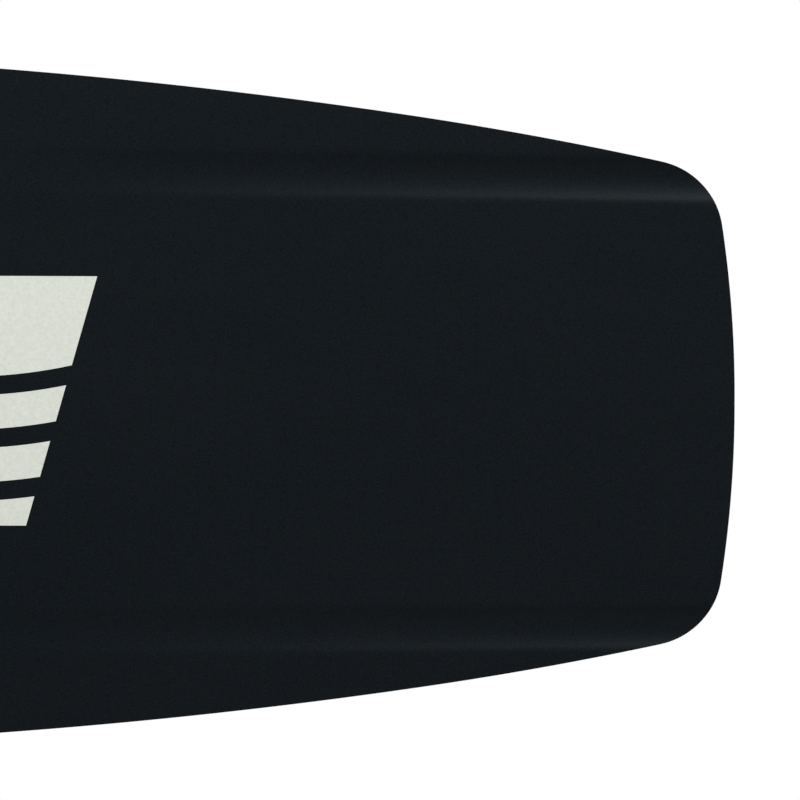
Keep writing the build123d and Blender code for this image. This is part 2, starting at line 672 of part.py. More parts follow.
for side_name, sign in SIDES:
    deck = deck_plane(sign)
    pad = pad_plane(sign)
    pad_up = Axis(pad.origin, pad.z_dir)
    row_points = [(0, -ROW_Y), (0, ROW_Y)]

    with BuildPart() as pad_baseplate:
        with BuildSketch(pad.offset(-CUT_DEPTH)):
            add(pad_outline(0))
        extrude(amount=PLATE_TOP + CUT_DEPTH)
        fillet(pad_baseplate.edges().group_by(pad_up)[-1], PLATE_EDGE)
        with BuildSketch(pad):
            for edge in (-1, 1):
                with Locations((edge * (WAIST_HALF_WIDTH - BOSS_DEPTH / 2), STRAP_V)):
                    RectangleRounded(BOSS_DEPTH, 2 * BOSS_HALF_WIDTH, BOSS_CORNER)
        extrude(amount=BOSS_TOP)
        fillet(pad_baseplate.edges().group_by(pad_up)[-1], BOSS_EDGE)
        with BuildSketch(pad.offset(WASHER_FLOOR)):
            add(stance_slots(WASHER_RADIUS + POCKET_CLEARANCE, 0.5))
        extrude(amount=PLATE_TOP, mode=Mode.SUBTRACT)
        with BuildSketch(pad.offset(-CUT_DEPTH)):
            add(stance_slots(SLOT_HALF_WIDTH, 0.2))
        extrude(amount=BLOCK_HEIGHT, mode=Mode.SUBTRACT)
        add(above(DECK_GAP), mode=Mode.INTERSECT)
        for edge in (-1, 1):
            with BuildSketch(pivot_plane(pad, edge, WAIST_HALF_WIDTH)):
                Circle(THREAD_RADIUS)
            extrude(amount=-BOSS_DEPTH + 3, mode=Mode.SUBTRACT)
    save(pad_baseplate.part, f"pad_baseplate_{side_name}")

    with BuildPart() as footbed:
        with BuildSketch(pad.offset(PLATE_TOP)):
            add(pad_outline(FOOTBED_INSET))
        extrude(amount=FOOTBED_TOP - PLATE_TOP)
        with BuildSketch(pad.offset(PLATE_TOP)):
            add(stance_slots(ACCESS_HALF_WIDTH, 0.5))
            for edge in (-1, 1):
                with Locations((edge * WAIST_HALF_WIDTH, STRAP_V)):
                    Rectangle(2 * BOSS_DEPTH + 1, 2 * BOSS_HALF_WIDTH + 1)
        extrude(amount=BLOCK_HEIGHT, mode=Mode.SUBTRACT)
        with BuildSketch(pad.offset(FOOTBED_TOP)):
            with Locations((0, HEEL_CENTRE_V)):
                Ellipse(HEEL_RADIUS_U, HEEL_RADIUS_V)
        extrude(amount=-HEEL_POCKET_DEPTH, mode=Mode.SUBTRACT)
    save(footbed.part, f"footbed_{side_name}")

    with BuildPart() as heel_cushion:
        with BuildSketch(pad.offset(FOOTBED_TOP - HEEL_POCKET_DEPTH)):
            with Locations((0, HEEL_CENTRE_V)):
                Ellipse(HEEL_RADIUS_U, HEEL_RADIUS_V)
        extrude(amount=HEEL_POCKET_DEPTH + 1)
    save(heel_cushion.part, f"heel_cushion_{side_name}")

    with BuildPart() as toe_bar:
        with BuildSketch(pad.offset(FOOTBED_TOP)):
            with Locations((0, TOE_BAR_V)):
                SlotOverall(TOE_BAR_LENGTH, TOE_BAR_WIDTH)
        extrude(amount=TOE_BAR_HEIGHT)
        fillet(toe_bar.edges().group_by(pad_up)[-1], TOE_BAR_HEIGHT / 2)
    save(toe_bar.part, f"toe_bar_{side_name}")

    seat = deck.offset(washer_top)
    save(screw(seat, row_points, screw_length, screw_radius), f"pad_screws_{side_name}")
    pad_washers = washer(seat, row_points, WASHER_RADIUS, WASHER_THICKNESS, washer_hole)
    save(pad_washers, f"pad_washers_{side_name}")

    save(strap_band(pad, 0, PADDING), f"strap_padding_{side_name}")
    save(strap_band(pad, PADDING, cover_growth), f"strap_cover_{side_name}")

    with BuildPart() as strap_end_fittings:
        for edge in (-1, 1):
            with BuildSketch(pivot_plane(pad, edge, LUG_FACE)):
                Circle(LUG_RADIUS)
                with Locations((0, (TANG_TOP - PIVOT_W) / 2)):
                    Rectangle(2 * LUG_RADIUS - 3, TANG_TOP - PIVOT_W)
                Circle(THREAD_RADIUS + THREAD_CLEARANCE, mode=Mode.SUBTRACT)
            extrude(amount=LUG_THICKNESS)
    save(strap_end_fittings.part, f"strap_end_fittings_{side_name}")

    pivot_screws = []
    pivot_washers = []
    for edge in (-1, 1):
        pivot = pivot_plane(pad, edge, pivot_seat)
        pivot_screws.append(screw(pivot, [(0, 0)], pivot_length, screw_radius))
        pivot_washers.append(
            washer(pivot, [(0, 0)], SMALL_WASHER_RADIUS, SMALL_WASHER, washer_hole)
        )
    with BuildPart() as strap_pivot_screws:
        add(pivot_screws)
    save(strap_pivot_screws.part, f"strap_pivot_screws_{side_name}")
    with BuildPart() as strap_pivot_washers:
        add(pivot_washers)
    save(strap_pivot_washers.part, f"strap_pivot_washers_{side_name}")

    flap_angles = (FLAP_ROOT_ANGLE, FLAP_END_ANGLE)
    flap = arc_band(pad, sign, flap_growth, tab_growth, flap_angles, FLAP_HALF_WIDTH)
    save(flap, f"strap_flap_{side_name}")
    tab_angles = (TAB_START_ANGLE, TAB_END_ANGLE)
    tab = arc_band(pad, sign, tab_growth, tab_growth + TAB, tab_angles, TAB_HALF_WIDTH)
    save(tab, f"flap_tab_{side_name}")
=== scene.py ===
"""Looks of the kiteboard: materials, soft goods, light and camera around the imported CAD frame.

Everything is in metres in the CAD's own frame. Pad pieces are built in a pad's own frame:
u across the foot, v to the toes, w up from the deck, in millimetres, and then placed.
"""

import json
import math

import bmesh
import bpy
from mathutils import Matrix, Vector


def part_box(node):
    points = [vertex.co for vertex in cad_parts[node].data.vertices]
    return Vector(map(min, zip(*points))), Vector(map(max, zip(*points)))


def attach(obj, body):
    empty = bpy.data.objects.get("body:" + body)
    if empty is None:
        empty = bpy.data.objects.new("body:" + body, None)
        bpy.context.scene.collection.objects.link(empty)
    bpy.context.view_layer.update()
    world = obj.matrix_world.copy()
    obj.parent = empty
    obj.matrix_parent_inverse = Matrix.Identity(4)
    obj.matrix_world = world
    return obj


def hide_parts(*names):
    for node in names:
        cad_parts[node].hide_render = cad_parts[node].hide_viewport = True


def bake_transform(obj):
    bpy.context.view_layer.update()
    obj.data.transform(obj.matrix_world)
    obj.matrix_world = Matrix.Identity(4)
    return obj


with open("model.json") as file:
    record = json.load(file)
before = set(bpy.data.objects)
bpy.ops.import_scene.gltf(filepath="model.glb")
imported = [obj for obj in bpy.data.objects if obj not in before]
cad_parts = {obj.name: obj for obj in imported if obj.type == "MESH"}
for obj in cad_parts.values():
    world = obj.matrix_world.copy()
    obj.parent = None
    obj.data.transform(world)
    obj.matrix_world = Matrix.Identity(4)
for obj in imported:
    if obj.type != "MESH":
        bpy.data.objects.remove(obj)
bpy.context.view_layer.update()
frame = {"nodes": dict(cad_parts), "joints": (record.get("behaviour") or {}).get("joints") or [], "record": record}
NODES = frame["nodes"]
JOINTS = {joint["name"]: joint for joint in frame["joints"]}
MM = 0.001
SIDES = ("left", "right")

# ---- sizes shared with the CAD: the board, in millimetres ----
BOARD_LENGTH = 1380.0
BOARD_WIDTH = 408.6
# radius and degrees of each arc, from the middle of a side to the corner of the tip
SIDE_ARCS = ((3500.0, 8.3), (2230.0, 3.65), (76.0, 3.65), (45.2, 65.7))
UNDERSIDE_ROCKER = 6283.0
CHANNEL_START_X = 245.0
CHANNEL_TIP_X = 690.0
CHANNEL_WIDTH = 25.6
CHANNEL_START_Y = 135.2
CHANNEL_TIP_Y = 131.6
CHANNEL_TIP_DEPTH = 2.8
CHANNEL_MIN_DEPTH = 0.06

# ---- the base skin: the CAD's underside with softer channel edges, in millimetres ----
CHANNEL_SOFTNESS = 0.2  # share of the channel's depth
SKIN_INSET = 0.04
SKIN_THICKNESS = 0.5
SHARP_ANGLE = 0.8  # radians
TIGHT_RADIUS = 100.0
LONG_STEP = 8.0
CORNER_STEP = 1.5
TIP_STEP = 2.0
# first place, spacing and number of the columns out from the middle, closest over a channel
SKIN_COLUMNS = ((0.0, 8.0, 14), (112.0, 1.4, 30), (155.0, 5.0, 11))
MERGE_DISTANCE = 0.00001  # metres

# ---- sizes shared with the CAD, in millimetres and degrees in a pad's frame ----
STRAP_V = 20.0
STRAP_SPRING_W = 45.0
STRAP_END_W = 30.0
STRAP_INNER_U = 58.0
STRAP_INNER_RISE = 42.0
STRAP_HALF_WIDTH = 50.0
STRAP_END_HALF_WIDTH = 21.0
STRAP_FULL_WIDTH_W = 76.0
PADDING = 8.0
COVER = 2.0
FOOTBED_TOP = 22.0
HEEL_V = -112.0
HEEL_RADIUS_U = 34.0
HEEL_RADIUS_V = 20.0
SLOT_RADIUS = 75.0
SLOT_HALF_WIDTH = 12.5
SLOT_HALF_ANGLE = 9.5
FLAP_GROWTH = 10.4
FLAP_THICKNESS = 3.0
FLAP_HALF_WIDTH = 23.0
FLAP_ANGLES = (30.0, 142.0)
TAB_ANGLES = (124.0, 147.0)
TAB_HALF_WIDTH = 16.0

# ---- sizes that only the visual pieces have, in millimetres and degrees ----
HEEL_DISH = 2.4
BALL_DISH = 1.2
ARCH_SUPPORT = 1.6
SIDE_RISE = 2.2
HEEL_RIM_RISE = 3.0
TOE_RISE = 1.8
TOP_SKIN = 1.5
CHEVRON_PITCH = 11.0
CHEVRON_SLANT = 0.55
GROOVE_HALF_WIDTH = 2.2
GROOVE_DEPTH = 2.0
CUSHION_SINK = 1.8
CUSHION_DOME = 1.6
DIMPLE_PITCH = 8.0
DIMPLE_ROW = 0.866 * DIMPLE_PITCH
DIMPLE_DEPTH = 1.1
DIMPLE_RADIUS = 3.0
TOE_RIB_PITCH = 8.0
TOE_RIB_DEPTH = 0.9
TOE_RIB_HALF_WIDTH = 1.7
QUILT_ANGLES = (24, 52, 90, 128, 156)
QUILT_DEPTH = 1.0
QUILT_HALF_ANGLE = 3.2
QUILT_HELD_ANGLE = 1.6
LINING_GAP = 1.2
LINING_HELD_RIM = 3.0
COVER_PUFF = 0.8
COVER_CHANNEL_DEPTH = 0.7
COVER_CHANNEL_PLACE = 0.66
PIPING_RADIUS = 1.7
STRAP_SEAM_INSET = 6.0
FLAP_BEND_ANGLE = 54.0
FLAP_LENGTH = 104.0
FLAP_END_ROUNDING = FLAP_HALF_WIDTH * 0.7
FLAP_SEAM_PLACE = 0.78
FLAP_SEAM_DEPTH = 0.45
FLAP_RIM_RISE = 0.25
FLAP_CROSS_SEAMS = (0.04, 0.13)
HOOK_ANGLES = (62.0, 136.0)
HOOK_HALF_WIDTH = 19.0
HOOK_GROWTH = 9.95
HOOK_THICKNESS = 0.8
TAB_LENGTH = 22.0
TAB_HALF_THICKNESS = 1.25
TAB_END_ROUNDING = 5.0
TAB_RIB_PITCH = 4.4
TAB_RIB_HEIGHT = 0.8

# ---- cloth simulation of the strap's lining; the limit is in millimetres ----
CLOTH_FRAMES = 14
CLOTH_PRESSURE = 4.0
CLOTH_LIMIT = 2.6

# ---- a stitch: share of its length and of its radius at each ring of its mesh ----
STITCH_RINGS = ((0, 0.35), (0.2, 0.9), (0.5, 1), (0.8, 0.9), (1, 0.35))
STITCH_SIDES = 6

# ---- grip of the grab handle, in millimetres ----
GRIP_ARCH_RADIUS = 420.0
GRIP_HALF_HEIGHT = 8.5
GRIP_FINGER_PITCH = 23.0
GRIP_FINGER_DEPTH = 0.9
GRIP_RING_PITCH = 3.2
GRIP_RING_DEPTH = 0.45
GRIP_COLLAR_LENGTH = 6.5
GRIP_COLLAR_RISE = 0.5
GRIP_END_ROUNDING = 3.0
GRIP_STATIONS = 220
GRIP_SIDES = 48

# ---- studio: lens and sensor in millimetres, places in metres, roll in degrees ----
SENSOR = 36.0
LENS = 400.0
VIEW_WIDTH = 0.4704
VIEW_CENTRE = Vector((0.4925, -0.0012, 0.019))
VIEW_ROLL = -0.19
FLOOR_HALF_SIZE = 6.0
FLOOR_REACH = 2.4
REFLECTED_COLOR = (0.86, 0.92, 1.0)
REFLECTED_STRENGTH = 0.16


# ---------------------------------------------------------------- materials
class Paint:
    """A procedural material: a Principled shader, and short calls for its nodes."""

    def __init__(self, name, color, roughness, metallic=0.0, specular=0.5):
        self.material = bpy.data.materials.new(name)
        self.material.use_nodes = True
        self.tree = self.material.node_tree
        self.shader = self.tree.nodes["Principled BSDF"]
        self.shader.inputs["Base Color"].default_value = (*color, 1)
        self.shader.inputs["Roughness"].default_value = roughness
        self.shader.inputs["Metallic"].default_value = metallic
        self.shader.inputs["Specular IOR Level"].default_value = specular
        self.place = self.tree.nodes.new("ShaderNodeTexCoord").outputs["Object"]
        self.height = None

    def put(self, socket, value):
        """Link an output, or set a plain value, on an input socket."""
        if isinstance(value, bpy.types.NodeSocket):
            self.tree.links.new(value, socket)
        else:
            socket.default_value = value

    def stretched(self, scale, turn=0.0):
        """Object coordinates scaled by a vector, after a turn about Z in degrees."""
        node = self.tree.nodes.new("ShaderNodeMapping")
        self.tree.links.new(self.place, node.inputs["Vector"])
        node.inputs["Scale"].default_value = scale
        node.inputs["Rotation"].default_value = (0, 0, math.radians(turn))
        return node.outputs["Vector"]

    def noise(self, scale, detail=2.0, roughness=0.5, vector=None):
        """Cloudy noise; the scale counts its cells in a metre."""
        node = self.tree.nodes.new("ShaderNodeTexNoise")
        self.put(node.inputs["Vector"], vector or self.place)
        node.inputs["Scale"].default_value = scale
        node.inputs["Detail"].default_value = detail
        node.inputs["Roughness"].default_value = roughness
        return node.outputs["Fac"]

    def cells(self, scale, feature="F1", vector=None, randomness=1.0):
        """Distance from the middles of cells, or from their edges, as the feature says."""
        node = self.tree.nodes.new("ShaderNodeTexVoronoi")
        node.feature = feature
        self.put(node.inputs["Vector"], vector or self.place)
        node.inputs["Scale"].default_value = scale
        node.inputs["Randomness"].default_value = randomness
        return node.outputs["Distance"]

    def wave(self, scale, direction, vector=None, distortion=0.0):
        """Even bands across a direction."""
        node = self.tree.nodes.new("ShaderNodeTexWave")
        node.bands_direction = direction
        self.put(node.inputs["Vector"], vector or self.place)
        node.inputs["Scale"].default_value = scale
        node.inputs["Distortion"].default_value = distortion
        return node.outputs["Fac"]

    def ramp(self, factor, *stops):
        """Colour ramp from (position, colour or grey) pairs."""
        node = self.tree.nodes.new("ShaderNodeValToRGB")
        self.tree.links.new(factor, node.inputs["Fac"])
        elements = node.color_ramp.elements
        while len(elements) < len(stops):
            elements.new(0.5)
        for element, (position, color) in zip(elements, stops):
            element.position = position
            shade = color if isinstance(color, tuple) else (color,) * 3
            element.color = (*shade, 1)
        return node.outputs["Color"]

    def combine(self, operation, first, second):
        """One math node on two outputs or plain values."""
        node = self.tree.nodes.new("ShaderNodeMath")
        node.operation = operation
        self.put(node.inputs[0], first)
        self.put(node.inputs[1], second)
        return node.outputs["Value"]

    def color(self, output):
        """Base colour from an output."""
        self.tree.links.new(output, self.shader.inputs["Base Color"])

    def roughness(self, factor, low, high):
        """Roughness between two values, as a factor says."""
        self.tree.links.new(
            self.ramp(factor, (0.25, low), (0.75, high)), self.shader.inputs["Roughness"]
        )

    def bump(self, factor, distance, strength=1.0):
        """Add a bump layer; layers stack in the order of the calls."""
        node = self.tree.nodes.new("ShaderNodeBump")
        node.inputs["Distance"].default_value = distance
        node.inputs["Strength"].default_value = strength
        self.tree.links.new(factor, node.inputs["Height"])
        if self.height is not None:
            self.tree.links.new(self.height, node.inputs["Normal"])
        self.height = node.outputs["Normal"]
        self.tree.links.new(self.height, self.shader.inputs["Normal"])


def base_film_paint():
    """Near-black blue-green sheet of the underside: satin, with a fine speckle."""
    paint = Paint("base_film", (0.005, 0.008, 0.010), 0.5, specular=0.15)
    speckle = paint.noise(1500, 2, 0.6)
    dark, light = (0.0009, 0.0027, 0.0041), (0.0076, 0.0106, 0.0131)
    paint.color(paint.ramp(speckle, (0.34, dark), (0.66, light)))
    drift = paint.noise(9, 3, 0.6, paint.stretched((0.5, 1.5, 1)))
    paint.roughness(drift, 0.44, 0.54)
    paint.bump(speckle, 0.00006, 0.6)
    scratches = paint.noise(60, 6, 0.7, paint.stretched((0.6, 9, 9)))
    paint.bump(paint.ramp(scratches, (0.66, 0.0), (0.72, 1.0)), 0.00003, 0.35)
    return paint.material


def cream_film_paint():
    """Cream film of the graphic: satin and slightly mottled."""
    paint = Paint("cream_film", (0.7, 0.72, 0.66), 0.46, specular=0.35)
    mottle = paint.noise(420, 5, 0.7)
    paint.color(paint.ramp(mottle, (0.32, (0.82, 0.80, 0.69)), (0.68, (0.94, 0.92, 0.80))))
    paint.bump(mottle, 0.00004, 0.5)
    return paint.material


def deck_film_paint():
    """Dark deck sheet with a fine long grain showing through it."""
    paint = Paint("deck_film", (0.012, 0.015, 0.017), 0.42, specular=0.4)
    fibres = paint.noise(70, 8, 0.72, paint.stretched((0.3, 9.0, 9.0)))
    speckle = paint.noise(1500, 2, 0.6)
    fibre_share = paint.combine("MULTIPLY", fibres, 0.6)
    speckle_share = paint.combine("MULTIPLY", speckle, 0.4)
    blend = paint.combine("ADD", fibre_share, speckle_share)
    paint.color(paint.ramp(blend, (0.38, (0.007, 0.010, 0.012)), (0.62, (0.021, 0.026, 0.029))))
    paint.roughness(paint.noise(14, 4), 0.4, 0.52)
    paint.bump(fibres, 0.00006, 0.5)
    paint.bump(paint.noise(1400, 2), 0.00004, 0.5)
    return paint.material


def edge_plastic_paint():
    """Planed ABS side wall: matt black with faint cutter lines and scuffs."""
    paint = Paint("edge_plastic", (0.018, 0.020, 0.022), 0.55, specular=0.4)
    lines = paint.noise(90, 6, 0.7, paint.stretched((0.5, 0.5, 14)))
    paint.color(paint.ramp(lines, (0.3, (0.012, 0.014, 0.015)), (0.75, (0.035, 0.038, 0.040))))
    paint.bump(lines, 0.0001, 0.6)
    return paint.material


def wood_paint():
    """Glued strips of light wood."""
    paint = Paint("wood", (0.55, 0.42, 0.27), 0.6, specular=0.3)
    strips = paint.wave(7.2, "Y", distortion=0.3)
    rings = paint.noise(30, 7, 0.65, paint.stretched((0.12, 5, 5)))
    blend = paint.combine("ADD", paint.combine("MULTIPLY", strips, 0.25), rings)
    paint.color(paint.ramp(blend, (0.35, (0.36, 0.25, 0.14)), (0.85, (0.66, 0.53, 0.36))))
    paint.bump(rings, 0.0002, 0.5)
    return paint.material


def laminate_paint():
    """Glass cloth in resin: a plain weave at small scale."""
    paint = Paint("laminate", (0.04, 0.042, 0.04), 0.4, specular=0.4)
    weave = paint.combine("MULTIPLY", paint.wave(260, "X"), paint.wave(260, "Y"))
    paint.color(paint.ramp(weave, (0.1, (0.022, 0.024, 0.023)), (0.8, (0.055, 0.058, 0.056))))
    paint.bump(weave, 0.0001, 0.6)
    return paint.material


def nylon_paint():
    """Glass-filled nylon with a spark-eroded grain."""
    paint = Paint("moulded_nylon", (0.020, 0.022, 0.024), 0.5, specular=0.45)
    grain = paint.noise(1700, 3, 0.6)
    paint.color(paint.ramp(grain, (0.3, (0.014, 0.016, 0.018)), (0.72, (0.032, 0.035, 0.038))))
    paint.roughness(paint.noise(60, 4), 0.42, 0.58)
    paint.bump(grain, 0.00016, 0.75)
    return paint.material


def rubber_paint():
    """Soft grip rubber: dull, with a fine pebble."""
    paint = Paint("grip_rubber", (0.026, 0.028, 0.030), 0.66, specular=0.35)
    pebble = paint.cells(900)
    paint.color(paint.ramp(pebble, (0.0, (0.036, 0.038, 0.041)), (0.6, (0.018, 0.020, 0.022))))
    paint.bump(pebble, 0.00018, 0.6)
    return paint.material


def foam_paint(name, low, high):
    """Closed-cell foam: tiny pits and a soft mottle."""
    paint = Paint(name, high, 0.86, specular=0.25)
    pits = paint.cells(1300)
    mottle = paint.noise(130, 5, 0.65)
    pit_share = paint.combine("MULTIPLY", pits, 0.45)
    mottle_share = paint.combine("MULTIPLY", mottle, 0.7)
    blend = paint.combine("ADD", pit_share, mottle_share)
    paint.color(paint.ramp(blend, (0.3, low), (0.72, high)))
    paint.bump(pits, 0.00022, 0.7)
    paint.bump(mottle, 0.0004, 0.35)
    return paint.material


def gel_paint():
    """Moulded gel heel insert: smoother and a little glossier than the foam."""
    paint = Paint("gel_cushion", (0.16, 0.17, 0.17), 0.42, specular=0.5)
    haze = paint.noise(220, 4, 0.6)
    paint.color(paint.ramp(haze, (0.3, (0.13, 0.14, 0.142)), (0.7, (0.20, 0.21, 0.21))))
    paint.roughness(haze, 0.36, 0.5)
    paint.bump(haze, 0.0001, 0.5)
    return paint.material


def knit_paint():
    """Spacer mesh of the strap's lining: rows of small open loops."""
    paint = Paint("strap_padding", (0.05, 0.055, 0.06), 0.9, specular=0.2)
    paint.shader.inputs["Sheen Weight"].default_value = 0.25
    paint.shader.inputs["Sheen Roughness"].default_value = 0.5
    loops = paint.cells(430, vector=paint.stretched((1, 1.35, 1)), randomness=0.25)
    paint.color(paint.ramp(loops, (0.12, (0.082, 0.088, 0.094)), (0.5, (0.018, 0.020, 0.023))))
    paint.bump(paint.ramp(loops, (0.1, 1.0), (0.55, 0.0)), 0.0004, 0.8)
    return paint.material


def leather_paint():
    """Synthetic leather of the strap's cover: pebble grain and creases, with painted shade in the creases and a
    painted highlight on the raised folds.
    """
    paint = Paint("strap_cover", (0.022, 0.024, 0.026), 0.5, specular=0.45)
    grain = paint.cells(640, "DISTANCE_TO_EDGE")
    folds_and_painted_shade = paint.noise(70, 6, 0.65)
    # painted shade and highlight: the colour is darker in the creases and lighter on the raised folds, from the
    # same noise that bumps them
    paint.color(paint.ramp(folds_and_painted_shade, (0.3, (0.016, 0.018, 0.020)), (0.75, (0.036, 0.039, 0.042))))
    paint.roughness(folds_and_painted_shade, 0.42, 0.62)
    paint.bump(paint.ramp(grain, (0.0, 0.0), (0.16, 1.0)), 0.00022, 0.75)
    paint.bump(folds_and_painted_shade, 0.0005, 0.35)
    return paint.material


def webbing_paint():
    """Woven nylon of the closure flap: a tight twill."""
    paint = Paint("webbing", (0.04, 0.045, 0.05), 0.8, specular=0.3)
    paint.shader.inputs["Sheen Weight"].default_value = 0.3
    twill = paint.stretched((1, 1, 1), 45)
    weave = paint.combine("MULTIPLY", paint.wave(420, "X", twill), paint.wave(420, "Y", twill))
    paint.color(paint.ramp(weave, (0.1, (0.024, 0.027, 0.030)), (0.8, (0.085, 0.092, 0.098))))
    paint.bump(weave, 0.0003, 0.8)
    return paint.material


def thread_paint():
    """Twisted cream sewing thread."""
    paint = Paint("thread", (0.62, 0.63, 0.57), 0.75, specular=0.3)
    twist = paint.noise(2600, 2)
    paint.color(paint.ramp(twist, (0.3, (0.42, 0.43, 0.38)), (0.7, (0.70, 0.71, 0.65))))
    paint.bump(twist, 0.0001, 0.6)
    return paint.material


def hook_paint():
    """Hook tape: tiny stiff hooks scattered on a dark ground."""
    paint = Paint("hook_tape", (0.03, 0.032, 0.035), 0.6, specular=0.4)
    hooks = paint.cells(620)
    paint.color(paint.ramp(hooks, (0.12, (0.12, 0.125, 0.13)), (0.45, (0.012, 0.013, 0.015))))
    paint.bump(paint.ramp(hooks, (0.1, 1.0), (0.5, 0.0)), 0.0006, 0.9)
    return paint.material


def steel_paint():
    """Stainless screws and washers with fine turned scratches."""
    paint = Paint("stainless", (0.6, 0.61, 0.62), 0.28, metallic=1.0)
    scratch = paint.noise(700, 5, 0.7)
    paint.color(paint.ramp(scratch, (0.3, (0.47, 0.48, 0.49)), (0.7, (0.68, 0.69, 0.70))))
    paint.roughness(scratch, 0.2, 0.38)
    paint.bump(scratch, 0.00003, 0.5)
    return paint.material


def brass_paint():
    """Machined brass inserts, a little dulled."""
    paint = Paint("insert_metal", (0.62, 0.47, 0.22), 0.3, metallic=1.0)
    tarnish = paint.noise(260, 5, 0.65)
    paint.color(paint.ramp(tarnish, (0.3, (0.40, 0.30, 0.14)), (0.7, (0.68, 0.53, 0.27))))
    paint.roughness(tarnish, 0.25, 0.45)
    paint.bump(tarnish, 0.00003, 0.5)
    return paint.material


PAINTS = {
    "base_film": base_film_paint(),
    "cream_film": cream_film_paint(),
    "deck_film": deck_film_paint(),
    "edge_plastic": edge_plastic_paint(),
    "wood": wood_paint(),
    "laminate": laminate_paint(),
    "moulded_nylon": nylon_paint(),
    "grip_rubber": rubber_paint(),
    "eva_foam": foam_paint("eva_foam", (0.034, 0.037, 0.041), (0.094, 0.101, 0.107)),
    "gel_cushion": gel_paint(),
    "strap_padding": knit_paint(),
    "strap_cover": leather_paint(),
    "webbing": webbing_paint(),
    "stainless": steel_paint(),
    "insert_metal": brass_paint(),
}
EXTRA_PAINTS = {"thread": thread_paint(), "hooks": hook_paint()}

for part in frame["record"]["subparts"]:
    mesh = NODES[part["node"]].data
    mesh.materials.clear()
    mesh.materials.append(PAINTS[part["material_slot"]])


# ---------------------------------------------------------------- mesh helpers
def add_object(name, mesh, body, slot, replaced=(), bend=None):
    """The slot is one of the record's, or names a paint that only visual pieces have.
    """
    piece = bpy.data.objects.new(name, mesh)
    bpy.context.scene.collection.objects.link(piece)
    mesh.materials.clear()
    mesh.materials.append(PAINTS.get(slot) or EXTRA_PAINTS[slot])
    if bend:
        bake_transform(piece)
    else:
        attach(piece, body)
    if replaced:
        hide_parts(*replaced)
    return piece


def bake(piece):
    """Replace a piece's mesh by what its modifiers make of it."""
    graph = bpy.context.evaluated_depsgraph_get()
    mesh = bpy.data.meshes.new_from_object(piece.evaluated_get(graph))
    piece.modifiers.clear()
    piece.data = mesh
    return mesh


def smooth(mesh):
    """Shade every face smooth."""
    mesh.polygons.foreach_set("use_smooth", [True] * len(mesh.polygons))
    mesh.update()


def remeshed(node, voxel, passes=4):
    """A voxel copy of a CAD node's mesh, slightly smoothed; voxel is in millimetres."""
    temporary = bpy.data.objects.new("remesh", NODES[node].data.copy())
    bpy.context.scene.collection.objects.link(temporary)
    remesh = temporary.modifiers.new("remesh", "REMESH")
    remesh.mode = "VOXEL"
    remesh.voxel_size = voxel * MM
    relax = temporary.modifiers.new("relax", "SMOOTH")
    relax.factor = 0.5
    relax.iterations = passes
    mesh = bake(temporary)
    bpy.data.objects.remove(temporary)
    smooth(mesh)
    return mesh


def grid_mesh(name, rows, closed_rows=False, closed_columns=False, caps=False):
    """Quads over rows of points, optionally closed either way and capped at the ends."""
    columns = len(rows[0])
    points = [point for row in rows for point in row]
    faces = []
    row_count = len(rows) if closed_rows else len(rows) - 1
    column_count = columns if closed_columns else columns - 1
    for i in range(row_count):
        following = (i + 1) % len(rows)
        for j in range(column_count):
            beside = (j + 1) % columns
            faces.append(
                (i * columns + j, i * columns + beside,
                 following * columns + beside, following * columns + j)
            )
    if caps:
        faces.append(tuple(reversed(range(columns))))
        faces.append(tuple((len(rows) - 1) * columns + j for j in range(columns)))
    mesh = bpy.data.meshes.new(name)
    mesh.from_pydata(points, [], faces)
    mesh.validate()
    edit = bmesh.new()
    edit.from_mesh(mesh)
    bmesh.ops.recalc_face_normals(edit, faces=edit.faces)
    edit.to_mesh(mesh)
    edit.free()
    smooth(mesh)
    return mesh


def joined(name, meshes):
    """One mesh from several."""
    edit = bmesh.new()
    for mesh in meshes:
        edit.from_mesh(mesh)
    result = bpy.data.meshes.new(name)
    edit.to_mesh(result)
    edit.free()
    smooth(result)
    return result


def squared(value, power):
    """A sine or cosine pushed outwards, which turns a round section into a rounded box."""
    return math.copysign(abs(value) ** power, value)


def round_end(distance, reach, least):
    """Share of the full width at a distance from a rounded end, where it is the least."""
    share = min(distance / reach, 1.0)
    return least + (1 - least) * math.sqrt(max(1 - (1 - share) ** 2, 0.0))


def groove(distance, half_width):
    """Depth share of a round-bottomed groove at a distance from its middle."""
    if abs(distance) >= half_width:
        return 0.0
    return math.cos(distance / half_width * math.pi / 2) ** 2


def soft_step(value, low, high):
    """0 below low, 1 above high, smooth in between."""
    share = min(max((value - low) / (high - low), 0.0), 1.0)
    return share * share * (3 - 2 * share)


# ---------------------------------------------------------------- underside
def quarter_outline():
    """Points of a quarter of the board's outline, from the middle of its side to its tip."""
    x, y, heading = 0.0, BOARD_WIDTH / 2, 0.0
    points = [(x, y)]

    def follow(radius, angle, step_length):
        nonlocal x, y, heading
        steps = math.ceil(radius * angle / step_length)
        for step in range(1, steps + 1):
            turned = heading + angle * step / steps
            points.append(
                (
                    x + radius * (math.sin(turned) - math.sin(heading)),
                    y + radius * (math.cos(turned) - math.cos(heading)),
                )
            )
        x, y = points[-1]
        heading += angle

    for radius, degrees in SIDE_ARCS:
        follow(radius, math.radians(degrees), LONG_STEP if radius > TIGHT_RADIUS else CORNER_STEP)
    reach_x, reach_y = BOARD_LENGTH / 2 - x, -y
    inward = -(reach_x * math.sin(heading) + reach_y * math.cos(heading))
    tip_radius = (reach_x**2 + reach_y**2) / (2 * inward)
    tip_angle = 2 * (math.atan2(-reach_y, reach_x) - heading)
    follow(tip_radius, tip_angle, TIP_STEP)
    return points


